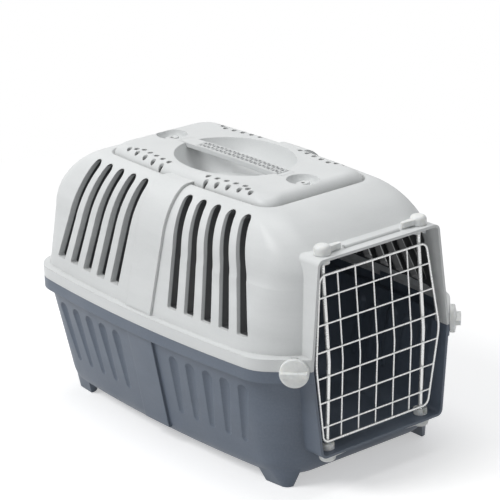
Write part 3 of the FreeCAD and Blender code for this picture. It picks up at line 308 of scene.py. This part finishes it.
def natural_plastic(name, colour, core):
    """Milky unpigmented plastic of the latches and knobs: light goes a little way in, edges are painted paler
    as a painted glow, and thin gate marks show."""
    material, g = new_material(name)
    place = g.add("ShaderNodeTexCoord").outputs["Object"]
    edge_normal, edge = edge_mask(g, 0.0008)
    cloud = g.noise(place, 120.0, 3.0, 0.55)
    grain = g.noise(place, 900.0, 2.0, 0.6)
    swirl = g.noise(g.stretched(place, (160.0, 160.0, 30.0)), 1.0, 3.0, 0.5)
    shade = g.mix(g.ramp(cloud, 0.0, 1.0, 0.30, 0.70), core, colour)
    shade = g.mix(g.ramp(swirl, 0.0, 0.22, 0.52, 0.70), shade, core)
    # Painted highlight: edges paler, standing in for light glowing through thin plastic.
    shade = g.mix(g.math("MULTIPLY", edge, 0.5), shade, rgb(250, 250, 248))
    unevenness = g.math("ADD", cloud, g.math("MULTIPLY", grain, 0.4))
    polish = g.ramp(unevenness, 0.24, 0.42, 0.45, 0.95)
    surface = g.bump(0.18, 0.00015, grain, edge_normal)
    surface = g.bump(0.12, 0.0006, cloud, surface)
    shader = g.add("ShaderNodeBsdfPrincipled", {"Base Color": shade, "Roughness": polish, "Normal": surface,
                                                "IOR": 1.50, "Subsurface Weight": 0.45,
                                                "Subsurface Radius": (1.0, 0.95, 0.85),
                                                "Subsurface Scale": 0.0022})
    g.add("ShaderNodeOutputMaterial", {"Surface": shader.outputs[0]})
    return material


def coated_wire(name, colour, thin):
    """White dip-coated steel wire: a glossy skin with runs and orange peel, greyer where it is thin."""
    material, g = new_material(name)
    place = g.add("ShaderNodeTexCoord").outputs["Object"]
    peel = g.noise(place, 520.0, 2.0, 0.5)
    runs = g.noise(g.stretched(place, (140.0, 140.0, 28.0)), 1.0, 3.0, 0.5)
    specks = g.ramp(g.noise(place, 380.0, 3.0, 0.7), 0.0, 1.0, 0.70, 0.76)
    shade = g.mix(g.ramp(runs, 0.0, 1.0, 0.34, 0.66), thin, colour)
    shade = g.mix(g.math("MULTIPLY", specks, 0.45), shade, rgb(150, 148, 142))
    unevenness = g.math("ADD", runs, g.math("MULTIPLY", peel, 0.5))
    polish = g.ramp(unevenness, 0.20, 0.36, 0.5, 1.0)
    surface = g.bump(0.16, 0.00025, peel)
    surface = g.bump(0.14, 0.0007, runs, surface)
    shader = g.add("ShaderNodeBsdfPrincipled", {"Base Color": shade, "Roughness": polish, "Normal": surface,
                                                "Metallic": 0.45, "IOR": 1.50, "Specular IOR Level": 0.9,
                                                "Coat Weight": 1.0, "Coat IOR": 2.0, "Coat Roughness": 0.12})
    g.add("ShaderNodeOutputMaterial", {"Surface": shader.outputs[0]})
    return material


# The dark cabin colour of the upper shell is painted shade for its inside faces and slot depths.
top_plastic = moulded_plastic("top_plastic", rgb(219, 221, 221), rgb(233, 234, 233), rgb(150, 150, 147),
                              cabin=rgb(44, 45, 48))
# The dark grip strip colour is painted shade for the hollows between the handle's ribs.
grip_painted_shade = moulded_plastic("grip_painted_shade", rgb(96, 98, 101), rgb(128, 129, 131), rgb(58, 58, 60),
                             grain=1.6, gloss=0.6)
base_plastic = moulded_plastic("base_plastic", rgb(97, 107, 121), rgb(130, 138, 149), rgb(58, 64, 72),
                               grain=1.25)
latch_plastic = natural_plastic("latch_plastic", rgb(241, 242, 240), rgb(224, 226, 225))
wire_coat = coated_wire("wire_coat", rgb(252, 252, 250), rgb(240, 241, 240))


def dress(name, material):
    """Gives a CAD node its finish by its material slots."""
    slots = nodes[name].material_slots
    if not slots:
        nodes[name].data.materials.append(material)
    for slot in slots:
        slot.material = material


for name in nodes:
    if name == "base_tub":
        dress(name, base_plastic)
    elif name in ("top_shell", "carry_handle") or name.startswith("strap_lug"):
        dress(name, top_plastic)
    elif name.startswith("door_"):
        dress(name, wire_coat)
    else:
        dress(name, latch_plastic)


# Ribbed grip on the carrying handle.

GRIP_START = -0.076
GRIP_END = 0.074
GRIP_HALF_WIDTH = 0.0078
GRIP_PITCH = 0.0079
GRIP_STEPS = 40
RAIL_WIDTH = 0.001785
END_WIDTH = 0.0021
RIB_WIDTH = 0.00168
RAIL_RISE = 0.0010
RIB_RISE = 0.00095
SHADE_STRIP_RISE = 0.00025
SUNK = 0.0006
ABOVE_ALL = 1.0

handle_mesh = nodes["carry_handle"].data
handle_surface = BVHTree.FromPolygons([vertex.co for vertex in handle_mesh.vertices],
                                      [polygon.vertices for polygon in handle_mesh.polygons])


def on_handle(x, y):
    """The highest point of the handle under (x, y)."""
    return handle_surface.ray_cast(Vector((x, y, ABOVE_ALL)), Vector((0.0, 0.0, -1.0)))[0]


def add_strip(bm, start, end, profile, steps):
    """A bar of one profile, as (across, height) points, laid on the handle between two points in plan."""
    along = (end - start).normalized()
    across = Vector((-along.y, along.x))
    loops = []
    for step in range(steps + 1):
        at = start.lerp(end, step / steps)
        seat = on_handle(at.x, at.y)
        loop = []
        for side, rise in profile:
            loop.append(bm.verts.new((at.x + across.x * side, at.y + across.y * side, seat.z + rise)))
        loops.append(loop)
    count = len(profile)
    for before, after in zip(loops, loops[1:]):
        for k in range(count):
            ahead = (k + 1) % count
            bm.faces.new((before[k], after[k], after[ahead], before[ahead]))
    bm.faces.new(loops[0])
    bm.faces.new(loops[-1][::-1])


def rib_profile(width, rise):
    """Rounded section of a rib, from its sunk left foot over the top to the right one."""
    half = width / 2
    return ((-half, -SUNK), (-half, 0.35 * rise), (-0.62 * half, 0.88 * rise), (-0.25 * half, rise),
            (0.25 * half, rise), (0.62 * half, 0.88 * rise), (half, 0.35 * rise), (half, -SUNK))


def finish_piece(name, bm, material):
    bmesh.ops.recalc_face_normals(bm, faces=bm.faces)
    mesh = bpy.data.meshes.new(name)
    bm.to_mesh(mesh)
    bm.free()
    mesh.materials.append(material)
    piece = bpy.data.objects.new(name, mesh)
    scene.collection.objects.link(piece)
    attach(piece, "top")


def make_grip():
    """A dark strip along the handle, painted shade between the ribs, crossed by two rows of raised zigzag
    ribs between three rails.
    """
    half = GRIP_HALF_WIDTH
    # Painted shade: a dark strip laid under the ribs.
    shade_strip = bmesh.new()
    flat = ((-half, -SUNK), (-half, SHADE_STRIP_RISE), (half, SHADE_STRIP_RISE), (half, -SUNK))
    add_strip(shade_strip, Vector((GRIP_START, 0.0)), Vector((GRIP_END, 0.0)), flat, GRIP_STEPS)
    finish_piece("handle_grip_painted_shade", shade_strip, grip_painted_shade)

    ribs = bmesh.new()
    rail = rib_profile(RAIL_WIDTH, RAIL_RISE)
    for y in (-half, 0.0, half):
        add_strip(ribs, Vector((GRIP_START, y)), Vector((GRIP_END, y)), rail, GRIP_STEPS)
    for x in (GRIP_START, GRIP_END):
        add_strip(ribs, Vector((x, -half)), Vector((x, half)), rib_profile(END_WIDTH, RAIL_RISE), 4)
    count = round((GRIP_END - GRIP_START) / (0.5 * GRIP_PITCH))
    pitch = (GRIP_END - GRIP_START) / count
    rib = rib_profile(RIB_WIDTH, RIB_RISE)
    for row in (-1, 1):
        for k in range(count):
            low, high = (0.0, row * half) if (k + (row > 0)) % 2 else (row * half, 0.0)
            start = Vector((GRIP_START + k * pitch, low))
            end = Vector((GRIP_START + (k + 1) * pitch, high))
            add_strip(ribs, start, end, rib, 3)
    finish_piece("handle_grip_ribs", ribs, top_plastic)


make_grip()


# Floor, light and background.

WHITE = (1.0, 1.0, 1.0, 1.0)
FLOOR_RADIUS = 6.0
FLOOR_RINGS = 12
FLOOR_SIDES = 64
FLOOR_DROP = 0.0004
FLOOR_TONE = (0.80, 0.80, 0.80, 1.0)
FLOOR_LIFT = 0.46
FADE_START = 0.45
FADE_END = 1.1
SKY_TONE = (0.96, 0.98, 1.0, 1.0)
SKY_STRENGTH = 0.30
LAMP_AIM = Vector((0.0, 0.0, 0.16))


def seen_directly(g):
    """1 for rays that show the background: camera, mirror-like and see-through ones."""
    path = g.add("ShaderNodeLightPath")
    seen = g.math("MAXIMUM", path.outputs["Is Camera Ray"], path.outputs["Is Glossy Ray"])
    return g.math("MAXIMUM", seen, path.outputs["Is Transmission Ray"])


def floor_paper():
    """White paper that takes shadows near the object and fades to plain white further out."""
    material, g = new_material("floor_paper")
    place = g.add("ShaderNodeTexCoord").outputs["Object"]
    bump = g.bump(0.05, 0.0004, g.noise(place, 240.0, 3.0, 0.6))
    matte = g.add("ShaderNodeBsdfDiffuse", {"Color": FLOOR_TONE, "Normal": bump})
    seen = seen_directly(g)
    lift = g.add("ShaderNodeEmission", {"Color": WHITE, "Strength": g.math("MULTIPLY", seen, FLOOR_LIFT)})
    lit = g.add("ShaderNodeAddShader", {0: matte.outputs[0], 1: lift.outputs[0]})
    white = g.add("ShaderNodeEmission", {"Color": WHITE, "Strength": 1.0})
    reach = g.add("ShaderNodeVectorMath", {0: place}, operation="LENGTH").outputs["Value"]
    away = g.math("MULTIPLY", g.ramp(reach, 0.0, 1.0, FADE_START, FADE_END), seen)
    surface = g.add("ShaderNodeMixShader", {0: away, 1: lit.outputs[0], 2: white.outputs[0]})
    g.add("ShaderNodeOutputMaterial", {"Surface": surface.outputs[0]})
    return material


def make_floor():
    bm = bmesh.new()
    centre = bm.verts.new((0.0, 0.0, 0.0))
    before = None
    for ring in range(1, FLOOR_RINGS + 1):
        reach = FLOOR_RADIUS * (ring / FLOOR_RINGS) ** 1.6
        loop = []
        for k in range(FLOOR_SIDES):
            angle = 2 * math.pi * k / FLOOR_SIDES
            loop.append(bm.verts.new((reach * math.cos(angle), reach * math.sin(angle), 0.0)))
        for k in range(FLOOR_SIDES):
            after = (k + 1) % FLOOR_SIDES
            if before is None:
                bm.faces.new((centre, loop[k], loop[after]))
            else:
                bm.faces.new((before[k], loop[k], loop[after], before[after]))
        before = loop
    mesh = bpy.data.meshes.new("floor")
    bm.to_mesh(mesh)
    bm.free()
    mesh.materials.append(floor_paper())
    floor = bpy.data.objects.new("floor", mesh)
    scene.collection.objects.link(floor)
    floor.location.z = -FLOOR_DROP


def make_lamp(name, place, size, power):
    data = bpy.data.lights.new(name, "AREA")
    data.shape = "DISK"
    data.size = size
    data.energy = power
    lamp = bpy.data.objects.new(name, data)
    scene.collection.objects.link(lamp)
    lamp.location = place
    lamp.rotation_euler = (LAMP_AIM - Vector(place)).to_track_quat("-Z", "Y").to_euler()


def make_world():
    """A soft even light on the object, in front of plain white."""
    world = bpy.data.worlds.new("studio")
    world.use_nodes = True
    scene.world = world
    g = Graph(world.node_tree)
    soft = g.add("ShaderNodeBackground", {"Color": SKY_TONE, "Strength": SKY_STRENGTH})
    white = g.add("ShaderNodeBackground", {"Color": WHITE, "Strength": 1.0})
    both = g.add("ShaderNodeMixShader", {0: seen_directly(g), 1: soft.outputs[0], 2: white.outputs[0]})
    g.add("ShaderNodeOutputWorld", {"Surface": both.outputs[0]})


make_floor()
make_world()
make_lamp("key", (-0.9, -2.3, 2.6), 1.6, 60.0)
make_lamp("overhead", (-0.2, 0.4, 3.0), 2.2, 30.0)
make_lamp("front_fill", (2.6, -0.4, 1.2), 1.4, 1.5)
